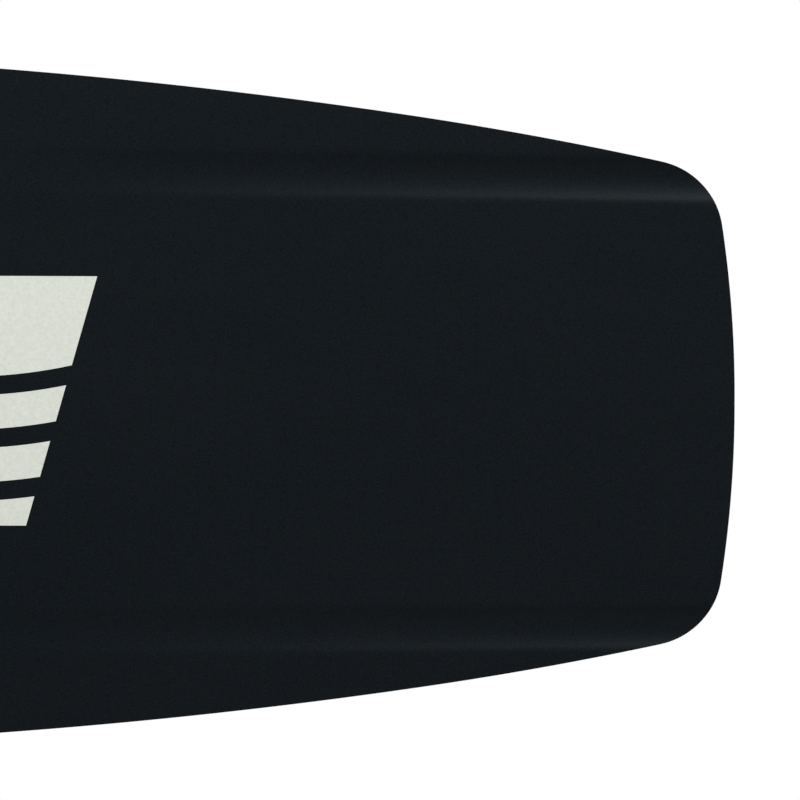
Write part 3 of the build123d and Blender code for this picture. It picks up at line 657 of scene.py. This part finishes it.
def underside_height(x, y):
    """Height of the underside: rocker and channels, with the channels' edges softened."""
    rocker = UNDERSIDE_ROCKER - math.sqrt(UNDERSIDE_ROCKER**2 - x**2)
    along = (abs(x) - CHANNEL_START_X) / (CHANNEL_TIP_X - CHANNEL_START_X)
    if along <= 0:
        return rocker
    depth = CHANNEL_MIN_DEPTH + (CHANNEL_TIP_DEPTH - CHANNEL_MIN_DEPTH) * along
    centre = CHANNEL_START_Y + (CHANNEL_TIP_Y - CHANNEL_START_Y) * along
    across = (abs(y) - centre) / (CHANNEL_WIDTH / 2)
    arch = depth * (1 - across**2)
    softness = depth * CHANNEL_SOFTNESS
    return rocker + (arch + math.hypot(arch, softness)) / 2


def make_base_skin():
    """The base sheet again as one closed skin, with its channels' edges softened."""
    quarter = quarter_outline()[:-1]
    stations = [(-x, y) for x, y in reversed(quarter[1:])] + quarter
    half = [start + gap * step for start, gap, count in SKIN_COLUMNS for step in range(count)]
    columns = [-y for y in reversed(half[1:])] + half
    rows = []
    for x, reach in stations:
        row = []
        for column in columns:
            y = min(max(column, -reach), reach)
            row.append(Vector((x, y, underside_height(x, y) + SKIN_INSET)) * MM)
        rows.append(row)
    mesh = grid_mesh("base_skin", rows)
    edit = bmesh.new()
    edit.from_mesh(mesh)
    bmesh.ops.remove_doubles(edit, verts=edit.verts, dist=MERGE_DISTANCE)
    bmesh.ops.dissolve_degenerate(edit, edges=edit.edges, dist=MERGE_DISTANCE)
    raised = bmesh.ops.extrude_face_region(edit, geom=edit.faces[:], use_keep_orig=True)["geom"]
    for item in raised:
        if isinstance(item, bmesh.types.BMVert):
            item.co.z += SKIN_THICKNESS * MM
    bmesh.ops.recalc_face_normals(edit, faces=edit.faces)
    for edge in edit.edges:
        edge.smooth = edge.calc_face_angle(0.0) < SHARP_ANGLE
    edit.to_mesh(mesh)
    edit.free()
    mesh.update()
    add_object("base_skin", mesh, "board", "base_film", ["base_sheet"])


# ---------------------------------------------------------------- pad frames
def pad_matrix(side):
    """From a pad's frame in millimetres to the CAD frame in metres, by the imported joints."""
    stance = JOINTS[f"{side}_stance_angle"]
    up = Vector(stance["axis"])
    if up.z < 0:
        up = -up
    across = Vector(JOINTS[f"{side}_strap_tilt"]["axis"])
    across = (across - up * across.dot(up)).normalized()
    toes = up.cross(across)
    origin = Vector(stance["pos_m"])
    turn = Matrix((across, toes, up)).transposed().to_4x4()
    return Matrix.Translation(origin) @ turn @ Matrix.Scale(MM, 4)


def reshape(mesh, matrix, change):
    """Move each vertex by a function of its place in the pad's frame."""
    back = matrix.inverted()
    for vertex in mesh.vertices:
        place = back @ vertex.co
        vertex.co = matrix @ change(place)
    mesh.update()


# ---------------------------------------------------------------- footbed
def mound(u, v, middle_v, reach_u, reach_v):
    """1 at a place on the pad's middle line, falling off smoothly all round it."""
    return math.exp(-((u / reach_u) ** 2 + ((v - middle_v) / reach_v) ** 2))


def footbed_height(u, v):
    """Sculpted top of the footbed above its flat CAD top."""
    heel_dish = -HEEL_DISH * mound(u, v, HEEL_V, 36, 34)
    side_rim = soft_step(abs(u), 44, 70) * SIDE_RISE * soft_step(-v, -70, 20)
    heel_rim = soft_step(-v, 112, 134) * HEEL_RIM_RISE
    toe_rise = soft_step(v, 66, 116) * TOE_RISE
    ball = -BALL_DISH * mound(u, v, 52, 46, 30)
    arch = ARCH_SUPPORT * mound(u, v, -28, 40, 26)
    return heel_dish + side_rim + heel_rim + toe_rise + ball + arch


def off_the_slots(u, v):
    """0 at the edges of the two screw openings, 1 a few millimetres away from them."""
    radial = abs(math.hypot(u, v) - SLOT_RADIUS) - SLOT_HALF_WIDTH
    swing = math.degrees(math.atan2(abs(u), abs(v))) - SLOT_HALF_ANGLE
    sideways = math.radians(swing) * SLOT_RADIUS - SLOT_HALF_WIDTH
    return soft_step(max(radial, sideways), 2.0, 5.0)


def footbed_grooves(u, v):
    """Chevron grooves over the sole, faded out at the rim, the openings and the heel insert."""
    along = (v + CHEVRON_SLANT * abs(u)) % CHEVRON_PITCH - CHEVRON_PITCH / 2
    depth = groove(along, GROOVE_HALF_WIDTH)
    rim = soft_step(62 - abs(u), 0, 5) * soft_step(88 - v, 0, 5) * soft_step(v + 126, 0, 6)
    heel = math.hypot(u / (HEEL_RADIUS_U + 5), (v - HEEL_V) / (HEEL_RADIUS_V + 5))
    return depth * rim * off_the_slots(u, v) * soft_step(heel, 1.0, 1.15)


def make_footbed(side, matrix):
    """Footbed with its top sculpted and grooved."""
    mesh = remeshed(f"footbed_{side}", 1.3, 6)

    def change(place):
        top = soft_step(place.z, FOOTBED_TOP - 7, FOOTBED_TOP - TOP_SKIN)
        if top > 0:
            lift = footbed_height(place.x, place.y) * top
            if place.z > FOOTBED_TOP - TOP_SKIN:
                lift -= GROOVE_DEPTH * footbed_grooves(place.x, place.y)
            place.z += lift
        return place

    reshape(mesh, matrix, change)
    piece = add_object(f"footbed_foam_{side}", mesh, f"{side}_pad", "eva_foam", [f"footbed_{side}"])


def dimple(u, v):
    """Depth share of the heel cushion's dimples, which stand in staggered rows."""
    row = round(v / DIMPLE_ROW)
    shift = DIMPLE_PITCH / 2 if row % 2 else 0.0
    du = (u - shift) % DIMPLE_PITCH
    du = min(du, DIMPLE_PITCH - du)
    return groove(math.hypot(du, v - row * DIMPLE_ROW), DIMPLE_RADIUS)


def make_heel_cushion(side, matrix):
    """Heel cushion with a low dome and dimples."""
    mesh = remeshed(f"heel_cushion_{side}", 1.0, 5)

    def change(place):
        if place.z > FOOTBED_TOP - TOP_SKIN:
            radius = math.hypot(place.x / HEEL_RADIUS_U, (place.y - HEEL_V) / HEEL_RADIUS_V)
            place.z += -CUSHION_SINK + CUSHION_DOME * (1 - min(radius, 1) ** 2)
            inside = soft_step(1 - radius, 0.08, 0.2)
            place.z -= DIMPLE_DEPTH * dimple(place.x, place.y) * inside
        return place

    reshape(mesh, matrix, change)
    piece = add_object(
        f"heel_gel_{side}", mesh, f"{side}_pad", "gel_cushion", [f"heel_cushion_{side}"]
    )


def make_toe_bar(side, matrix):
    """Toe bar with cross ribs, on the footbed's sculpted top."""
    mesh = remeshed(f"toe_bar_{side}", 1.0, 6)

    def change(place):
        lift = footbed_height(place.x, place.y)
        across = place.x % TOE_RIB_PITCH - TOE_RIB_PITCH / 2
        height = soft_step(place.z, FOOTBED_TOP + 1.5, FOOTBED_TOP + 5)
        place.z += lift - TOE_RIB_DEPTH * groove(across, TOE_RIB_HALF_WIDTH) * height
        return place

    reshape(mesh, matrix, change)
    piece = add_object(f"toe_ridge_{side}", mesh, f"{side}_pad", "eva_foam", [f"toe_bar_{side}"])


# ---------------------------------------------------------------- foot straps
def strap_half_width(w):
    """Half width of the strap at a height: narrow at its ends, wide over the foot."""
    widening = soft_step(w, STRAP_SPRING_W - 6, STRAP_FULL_WIDTH_W + 2)
    return STRAP_END_HALF_WIDTH + (STRAP_HALF_WIDTH - STRAP_END_HALF_WIDTH) * widening


def arch_point(growth, angle):
    """Point (u, w) of the arch and its outward normal; angles past 0 and 180 run down its sides."""
    half_span = STRAP_INNER_U + growth
    rise = STRAP_INNER_RISE + growth
    if angle < 0 or angle > 180:
        sign = 1 if angle < 0 else -1
        down = -angle if angle < 0 else angle - 180
        return (sign * half_span, STRAP_SPRING_W - down), (sign, 0.0)
    radians = math.radians(angle)
    point = (half_span * math.cos(radians), STRAP_SPRING_W + rise * math.sin(radians))
    normal = Vector((math.cos(radians) * rise, math.sin(radians) * half_span)).normalized()
    return point, (normal.x, normal.y)


def strap_angles(count):
    """Stations round the strap, from one lower end to the other."""
    drop = STRAP_SPRING_W - STRAP_END_W
    first = [-drop + drop * step / 6 for step in range(6)]
    middle = [180 * step / count for step in range(count + 1)]
    last = [180 + drop * (step + 1) / 6 for step in range(6)]
    return first + middle + last


def arch_band(name, matrix, growth, angles, sides, powers, section, mirror=1):
    """Closed band along the arch. section(angle, w, s, t) gives its half width and its lift."""
    rows = []
    for angle in angles:
        (u, w), (nu, nw) = arch_point(growth, angle)
        row = []
        for step in range(sides):
            turn = 2 * math.pi * step / sides
            s = squared(math.cos(turn), powers[0])
            t = squared(math.sin(turn), powers[1])
            width, lift = section(angle, w, s, t)
            place = Vector((mirror * (u + nu * lift), STRAP_V + s * width, w + nw * lift))
            row.append(matrix @ place)
        rows.append(row)
    return grid_mesh(name, rows, closed_columns=True, caps=True)


def strap_layer(name, low, high, matrix, bulge, stations=72, across=28):
    """Padded band between two growths, as wide as the strap. bulge(angle, s, t) adds height."""
    half = (high - low) / 2

    def section(angle, w, s, t):
        return strap_half_width(w), t * half + bulge(angle, s, t)

    angles = strap_angles(stations)
    return arch_band(name, matrix, (low + high) / 2, angles, across * 2, (0.55, 0.42), section)


def inflate(name, mesh, pinned):
    """Cloth pressure on a closed mesh held at some vertices; no vertex moves past the limit."""
    piece = bpy.data.objects.new(name, mesh)
    bpy.context.scene.collection.objects.link(piece)
    rest = [vertex.co.copy() for vertex in mesh.vertices]
    group = piece.vertex_groups.new(name="held")
    group.add(pinned, 1.0, "REPLACE")
    cloth = piece.modifiers.new("cloth", "CLOTH")
    settings = cloth.settings
    settings.use_pressure = True
    settings.uniform_pressure_force = CLOTH_PRESSURE
    settings.vertex_group_mass = "held"
    settings.effector_weights.gravity = 0
    settings.quality = 4
    cloth.collision_settings.use_collision = False
    scene = bpy.context.scene
    for step in range(1, CLOTH_FRAMES + 1):
        scene.frame_set(step)
    result = bake(piece)
    bpy.data.objects.remove(piece)
    scene.frame_set(1)
    for vertex, start in zip(result.vertices, rest):
        move = vertex.co - start
        if move.length > CLOTH_LIMIT * MM:
            vertex.co = start + move.normalized() * CLOTH_LIMIT * MM
    result.update()
    return result


def from_quilt_seam(angle):
    """Degrees from the nearest cross seam of the lining."""
    return min(abs(angle - line) for line in QUILT_ANGLES)


def held_by_seams(place):
    """True where the lining is sewn or lies against the cover, at a place in the pad's frame."""
    rise = place.z - STRAP_SPRING_W
    angle = math.degrees(math.atan2(rise / STRAP_INNER_RISE, place.x / STRAP_INNER_U))
    on_seam = from_quilt_seam(angle) < QUILT_HELD_ANGLE
    on_edge = abs(place.y - STRAP_V) > strap_half_width(place.z) - LINING_HELD_RIM
    middle_u, middle_rise = STRAP_INNER_U + 6, STRAP_INNER_RISE + 6
    outside = (place.x / middle_u) ** 2 + (rise / middle_rise) ** 2 > 1
    return on_seam or on_edge or rise < 0 or outside


def make_strap_lining(side, matrix):
    """Padded lining: quilted, blown up by cloth pressure between its seams."""

    def seam(angle, s, t):
        return -QUILT_DEPTH * t * groove(from_quilt_seam(angle), QUILT_HALF_ANGLE) if t < 0 else 0.0

    mesh = strap_layer("lining", LINING_GAP, PADDING - 0.5, matrix, seam)
    back = matrix.inverted()
    pinned = [vertex.index for vertex in mesh.vertices if held_by_seams(back @ vertex.co)]
    mesh = inflate(f"blown_{side}", mesh, pinned)
    piece = bpy.data.objects.new("subdivide", mesh)
    bpy.context.scene.collection.objects.link(piece)
    piece.modifiers.new("fine", "SUBSURF").levels = 1
    mesh = bake(piece)
    bpy.data.objects.remove(piece)
    smooth(mesh)
    piece = add_object(
        f"strap_lining_{side}", mesh, f"{side}_strap", "strap_padding", [f"strap_padding_{side}"]
    )


def tube(points, radius, sides=8):
    """Round tube along points, in metres, with flat ends."""
    unlike_any_seam = Vector((0.13, 0.21, 0.97))
    rows = []
    for i, point in enumerate(points):
        ahead = points[min(i + 1, len(points) - 1)] - points[max(i - 1, 0)]
        along = ahead.normalized()
        side = along.cross(unlike_any_seam).normalized()
        up = side.cross(along)
        rows.append(
            [
                point + side * radius * math.cos(2 * math.pi * k / sides)
                + up * radius * math.sin(2 * math.pi * k / sides)
                for k in range(sides)
            ]
        )
    return grid_mesh("tube", rows, closed_columns=True, caps=True)


def stitch(start, along, normal, length, radius):
    """One raised stitch, thin at both ends where it goes into the cloth."""
    beside = along.cross(normal).normalized()
    rows = []
    for share, size in STITCH_RINGS:
        lift = radius * (0.15 + 0.55 * math.sin(math.pi * share))
        centre = start + along * length * share + normal * lift
        ring = []
        for step in range(STITCH_SIDES):
            turn = 2 * math.pi * step / STITCH_SIDES
            across = beside * radius * size * math.cos(turn)
            ring.append(centre + across + normal * radius * size * math.sin(turn))
        rows.append(ring)
    return grid_mesh("stitch", rows, closed_columns=True, caps=True)


def stitches(points, normals, length, gap, radius):
    """Meshes of separate stitches along a line of points; the sizes are in millimetres."""
    meshes = []
    travelled = 0.0
    pending = 0.0
    for (first, second, normal) in zip(points, points[1:], normals):
        step = (second - first).length
        along = (second - first).normalized()
        while pending < travelled + step:
            start = first + along * (pending - travelled)
            meshes.append(stitch(start, along, normal, length * MM, radius * MM))
            pending += (length + gap) * MM
        travelled += step
    return meshes


def arch_line(matrix, growth, angles, across, mirror=1):
    """Points along the arch and their outward normals; across(w) gives v."""
    points = []
    normals = []
    turn = matrix.to_3x3().normalized()
    for angle in angles:
        (u, w), (nu, nw) = arch_point(growth, angle)
        points.append(matrix @ Vector((mirror * u, across(w), w)))
        normals.append((turn @ Vector((mirror * nu, 0, nw))).normalized())
    return points, normals


def make_strap_shell(side, matrix):
    """Leather-like cover with embossed channels."""

    def emboss(angle, s, t):
        if t <= 0:
            return 0.0
        channel = groove((abs(s) - COVER_CHANNEL_PLACE) * STRAP_HALF_WIDTH, 2.0)
        beside_flap = soft_step(abs(s) * STRAP_HALF_WIDTH, FLAP_HALF_WIDTH, FLAP_HALF_WIDTH + 4)
        puff = COVER_PUFF * soft_step(1 - abs(s), 0.1, 0.4) * beside_flap
        return puff - COVER_CHANNEL_DEPTH * channel

    mesh = strap_layer("shell", PADDING - 0.2, PADDING + COVER - 0.3, matrix, emboss, 90, 34)
    add_object(f"strap_shell_{side}", mesh, f"{side}_strap", "strap_cover", [f"strap_cover_{side}"])


def make_strap_edge(side, matrix, edge, sign):
    """Piping along one edge of the strap, and the row of stitches beside it."""
    angles = strap_angles(90)

    def inset(distance):
        return lambda w: STRAP_V + sign * (strap_half_width(w) - distance)

    points, _ = arch_line(matrix, PADDING - 0.2, angles, inset(0.6))
    piping = tube(points, PIPING_RADIUS * MM, 10)
    add_object(f"strap_piping_{edge}_{side}", piping, f"{side}_strap", "strap_cover")
    line = arch_line(matrix, PADDING + COVER + 0.05, angles[4:-4], inset(STRAP_SEAM_INSET))
    seam = joined("stitching", stitches(*line, 3.2, 1.3, 0.42))
    add_object(f"strap_stitching_{edge}_{side}", seam, f"{side}_strap", "thread")


# ---------------------------------------------------------------- closure flap
def flap_sign(side):
    """The flap is sewn on at the side towards the middle of the board."""
    return 1 if side == "left" else -1


def flap_bend(side, matrix):
    ends = []
    for angle in (FLAP_ANGLES[0], FLAP_BEND_ANGLE):
        (u, w), _ = arch_point(FLAP_GROWTH, angle)
        ends.append(tuple(matrix @ Vector((flap_sign(side) * u, STRAP_V, w))))
    return (f"{side}_strap", f"{side}_flap", *ends)


def spaced(span, stations):
    """Evenly spaced values from one end of a span to the other."""
    first, last = span
    return [first + (last - first) * step / stations for step in range(stations + 1)]


def share_of(span, value):
    """How far along a span a value is, from 0 to 1."""
    first, last = span
    return (value - first) / (last - first)


def make_flap(side, matrix):
    """Woven closure flap with a rounded end, a raised rim and sunk seams."""

    def section(angle, w, s, t):
        remaining = (1 - share_of(FLAP_ANGLES, angle)) * FLAP_LENGTH
        width = FLAP_HALF_WIDTH * round_end(remaining, FLAP_END_ROUNDING, 0.45)
        lift = t * (FLAP_THICKNESS / 2 - 0.25)
        if t > 0:
            lift -= FLAP_SEAM_DEPTH * groove((abs(s) - FLAP_SEAM_PLACE) * width, 1.3)
            lift += FLAP_RIM_RISE * soft_step(abs(s), 0.84, 0.9)
        return width, lift

    middle = FLAP_GROWTH + FLAP_THICKNESS / 2
    angles = spaced(FLAP_ANGLES, 64)
    mesh = arch_band("flap", matrix, middle, angles, 40, (0.5, 0.5), section, flap_sign(side))
    bend = flap_bend(side, matrix)
    add_object(f"closure_flap_{side}", mesh, None, "webbing", [f"strap_flap_{side}"], bend)


def make_flap_stitching(side, matrix):
    """Stitches down both sides of the flap, and two rows across its root."""
    sign = flap_sign(side)
    size = (2.8, 1.2, 0.38)
    angles = spaced(FLAP_ANGLES, 64)[2:-9]
    seams = []
    for edge in (-1, 1):
        v = STRAP_V + edge * FLAP_HALF_WIDTH * FLAP_SEAM_PLACE
        line = arch_line(matrix, FLAP_GROWTH + FLAP_THICKNESS - 0.45, angles, lambda w: v, sign)
        seams += stitches(*line, *size)
    turn = matrix.to_3x3().normalized()
    first, last = FLAP_ANGLES
    for share in FLAP_CROSS_SEAMS:
        angle = first + (last - first) * share
        (u, w), (nu, nw) = arch_point(FLAP_GROWTH + FLAP_THICKNESS - 0.25, angle)
        points = [matrix @ Vector((sign * u, STRAP_V + v, w)) for v in range(-17, 18, 2)]
        normal = (turn @ Vector((sign * nu, 0, nw))).normalized()
        seams += stitches(points, [normal] * len(points), *size)
    bend = flap_bend(side, matrix)
    add_object(f"flap_stitching_{side}", joined("seams", seams), None, "thread", bend=bend)


def make_hook_tape(side, matrix):
    """Hook tape sewn on the strap, which the flap closes on."""

    def section(angle, w, s, t):
        return HOOK_HALF_WIDTH, HOOK_THICKNESS / 2 * t

    angles = spaced(HOOK_ANGLES, 40)
    sign = flap_sign(side)
    mesh = arch_band("hook_tape", matrix, HOOK_GROWTH, angles, 24, (0.3, 0.5), section, sign)
    add_object(f"hook_tape_{side}", mesh, f"{side}_strap", "hooks")


def make_tab(side, matrix):
    """Moulded pull tab with ribs and rounded ends."""

    def section(angle, w, s, t):
        share = share_of(TAB_ANGLES, angle)
        end = min(share, 1 - share) * TAB_LENGTH
        width = TAB_HALF_WIDTH * round_end(end, TAB_END_ROUNDING, 0.72)
        lift = t * TAB_HALF_THICKNESS
        if t > 0:
            along = (share * TAB_LENGTH) % TAB_RIB_PITCH - TAB_RIB_PITCH / 2
            rib = TAB_RIB_HEIGHT * groove(along, 1.5) * soft_step(end, 1.5, 3.5)
            lift += rib * soft_step(1 - abs(s), 0.08, 0.2)
        return width, lift

    middle = FLAP_GROWTH + FLAP_THICKNESS + 1.5
    angles = spaced(TAB_ANGLES, 48)
    mesh = arch_band("tab", matrix, middle, angles, 32, (0.55, 0.55), section, flap_sign(side))
    add_object(f"pull_tab_{side}", mesh, f"{side}_flap", "grip_rubber", [f"flap_tab_{side}"])


def make_lugs(side):
    """The two moulded end fittings with their edges rounded off."""
    mesh = remeshed(f"strap_end_fittings_{side}", 0.6, 7)
    add_object(
        f"strap_lugs_{side}", mesh, f"{side}_strap", "moulded_nylon", [f"strap_end_fittings_{side}"]
    )


# ---------------------------------------------------------------- grab handle
def make_handle_frame():
    """The moulded bar with its edges rounded off."""
    mesh = remeshed("grab_handle_frame", 0.9, 8)
    add_object("handle_bar", mesh, "board", "moulded_nylon", ["grab_handle_frame"])


def make_grip():
    """Soft sleeve with finger waves below, fine rings all round and a collar at each end."""
    low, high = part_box("grab_handle_grip")
    centre_y = (low.y + high.y) / 2
    half_length = (high.x - low.x) / 2 / MM
    half_width = (high.y - low.y) / 2 / MM
    top = high.z / MM
    rows = []
    for x in spaced((-half_length, half_length), GRIP_STATIONS):
        sag = GRIP_ARCH_RADIUS - math.sqrt(GRIP_ARCH_RADIUS**2 - x**2)
        centre_z = top - GRIP_HALF_HEIGHT - sag
        end = half_length - abs(x)
        rounding = round_end(end, GRIP_END_ROUNDING, 0.6)
        ring = groove(x % GRIP_RING_PITCH - GRIP_RING_PITCH / 2, 0.75)
        ring *= GRIP_RING_DEPTH * soft_step(end, 7, 10)
        wave = 0.5 - 0.5 * math.cos(2 * math.pi * x / GRIP_FINGER_PITCH)
        wave *= GRIP_FINGER_DEPTH * soft_step(end, 7, 12)
        collar = GRIP_COLLAR_RISE * soft_step(GRIP_COLLAR_LENGTH - end, 0, 0.8)
        row = []
        for step in range(GRIP_SIDES):
            turn = 2 * math.pi * step / GRIP_SIDES
            below = max(-math.sin(turn), 0.0)
            shrink = ring + wave * below - collar
            y = centre_y + (half_width * rounding - shrink) * math.cos(turn) * MM
            z = (centre_z + (GRIP_HALF_HEIGHT * rounding - shrink) * math.sin(turn)) * MM
            row.append(Vector((x * MM, y, z)))
        rows.append(row)
    mesh = grid_mesh("grip", rows, closed_columns=True, caps=True)
    add_object("handle_grip", mesh, "board", "grip_rubber", ["grab_handle_grip"])


# ---------------------------------------------------------------- build it all
for side in SIDES:
    pad = pad_matrix(side)
    make_footbed(side, pad)
    make_heel_cushion(side, pad)
    make_toe_bar(side, pad)
    make_strap_lining(side, pad)
    make_strap_shell(side, pad)
    make_strap_edge(side, pad, "heel", -1)
    make_strap_edge(side, pad, "toe", 1)
    make_flap(side, pad)
    make_flap_stitching(side, pad)
    make_hook_tape(side, pad)
    make_tab(side, pad)
    make_lugs(side)
make_handle_frame()
make_grip()
make_base_skin()


# ---------------------------------------------------------------- studio
def make_camera():
    """Long lens under the +X end, looking straight up at the underside."""
    data = bpy.data.cameras.new("main_camera")
    data.sensor_width = SENSOR
    data.lens = LENS
    data.clip_end = 50
    camera = bpy.data.objects.new("main_camera", data)
    camera.location = VIEW_CENTRE - Vector((0, 0, VIEW_WIDTH * LENS / SENSOR))
    camera.rotation_euler = (math.pi, 0, math.radians(VIEW_ROLL))
    bpy.context.scene.collection.objects.link(camera)
    bpy.context.scene.camera = camera


def make_area(name, place, target, size, power, shade=(1, 1, 1)):
    """Soft rectangular lamp aimed at a point."""
    data = bpy.data.lights.new(name, "AREA")
    data.shape = "RECTANGLE"
    data.size, data.size_y = size
    data.energy = power
    data.color = shade
    lamp = bpy.data.objects.new(name, data)
    lamp.location = place
    aim = Vector(target) - Vector(place)
    lamp.rotation_euler = aim.to_track_quat("-Z", "Y").to_euler()
    lamp.visible_camera = False
    bpy.context.scene.collection.objects.link(lamp)


def make_world():
    """White for the camera, and a dim cool grey for all other rays."""
    world = bpy.data.worlds.new("studio")
    bpy.context.scene.world = world
    world.use_nodes = True
    tree = world.node_tree
    tree.nodes.clear()
    seen = tree.nodes.new("ShaderNodeBackground")
    seen.inputs["Color"].default_value = (1, 1, 1, 1)
    seen.inputs["Strength"].default_value = 1.0
    reflected = tree.nodes.new("ShaderNodeBackground")
    reflected.inputs["Color"].default_value = (*REFLECTED_COLOR, 1)
    reflected.inputs["Strength"].default_value = REFLECTED_STRENGTH
    mix = tree.nodes.new("ShaderNodeMixShader")
    path = tree.nodes.new("ShaderNodeLightPath")
    output = tree.nodes.new("ShaderNodeOutputWorld")
    tree.links.new(path.outputs["Is Camera Ray"], mix.inputs["Fac"])
    tree.links.new(reflected.outputs["Background"], mix.inputs[1])
    tree.links.new(seen.outputs["Background"], mix.inputs[2])
    tree.links.new(mix.outputs["Shader"], output.inputs["Surface"])


def floor_paint():
    """Pale studio floor, seen only from above, that fades into the white surround."""
    paint = Paint("studio_floor", (0.8, 0.8, 0.8), 0.8, specular=0.2)
    cloud = paint.noise(3, 3)
    paint.color(paint.ramp(cloud, (0.3, (0.80, 0.805, 0.81)), (0.7, (0.84, 0.84, 0.84))))
    tree = paint.tree
    clear = tree.nodes.new("ShaderNodeBsdfTransparent")
    mix = tree.nodes.new("ShaderNodeMixShader")
    side = tree.nodes.new("ShaderNodeNewGeometry").outputs["Backfacing"]
    round_fade = tree.nodes.new("ShaderNodeTexGradient")
    round_fade.gradient_type = "SPHERICAL"
    tree.links.new(paint.stretched((1 / FLOOR_REACH,) * 3), round_fade.inputs["Vector"])
    faded = paint.ramp(round_fade.outputs["Fac"], (0.05, 1.0), (0.58, 0.0))
    tree.links.new(paint.combine("MAXIMUM", side, faded), mix.inputs["Fac"])
    tree.links.new(paint.shader.outputs["BSDF"], mix.inputs[1])
    tree.links.new(clear.outputs["BSDF"], mix.inputs[2])
    tree.links.new(mix.outputs["Shader"], tree.nodes["Material Output"].inputs["Surface"])
    return paint.material


def make_floor():
    """Pale floor at the height of the board's lowest point; it hides nothing from below."""
    edit = bmesh.new()
    bmesh.ops.create_grid(edit, x_segments=8, y_segments=8, size=FLOOR_HALF_SIZE)
    mesh = bpy.data.meshes.new("studio_floor")
    edit.to_mesh(mesh)
    edit.free()
    mesh.materials.append(floor_paint())
    floor = bpy.data.objects.new("studio_floor", mesh)
    bpy.context.scene.collection.objects.link(floor)
    floor.visible_diffuse = False
    floor.visible_glossy = False
    floor.visible_shadow = False


make_camera()
make_world()
make_floor()
make_area("under_key", (0.5, -3.2, -1.75), (0.45, 0, 0), (2.4, 0.8), 184, (0.94, 1.0, 1.04))
make_area("under_fill", (1.2, 1.2, -2.0), (0.5, 0.1, 0), (1.4, 1.4), 4.5, (0.95, 0.97, 1.0))
make_area("over_key", (-1.1, -1.6, 2.3), (0, 0, 0), (1.5, 1.5), 62)
make_area("over_fill", (1.8, 0.6, 1.8), (0, 0, 0), (1.8, 1.2), 24)
make_area("over_rim", (0.2, 2.3, 1.3), (0, 0, 0.05), (2.2, 0.6), 26)
bpy.context.scene.view_settings.view_transform = "Standard"
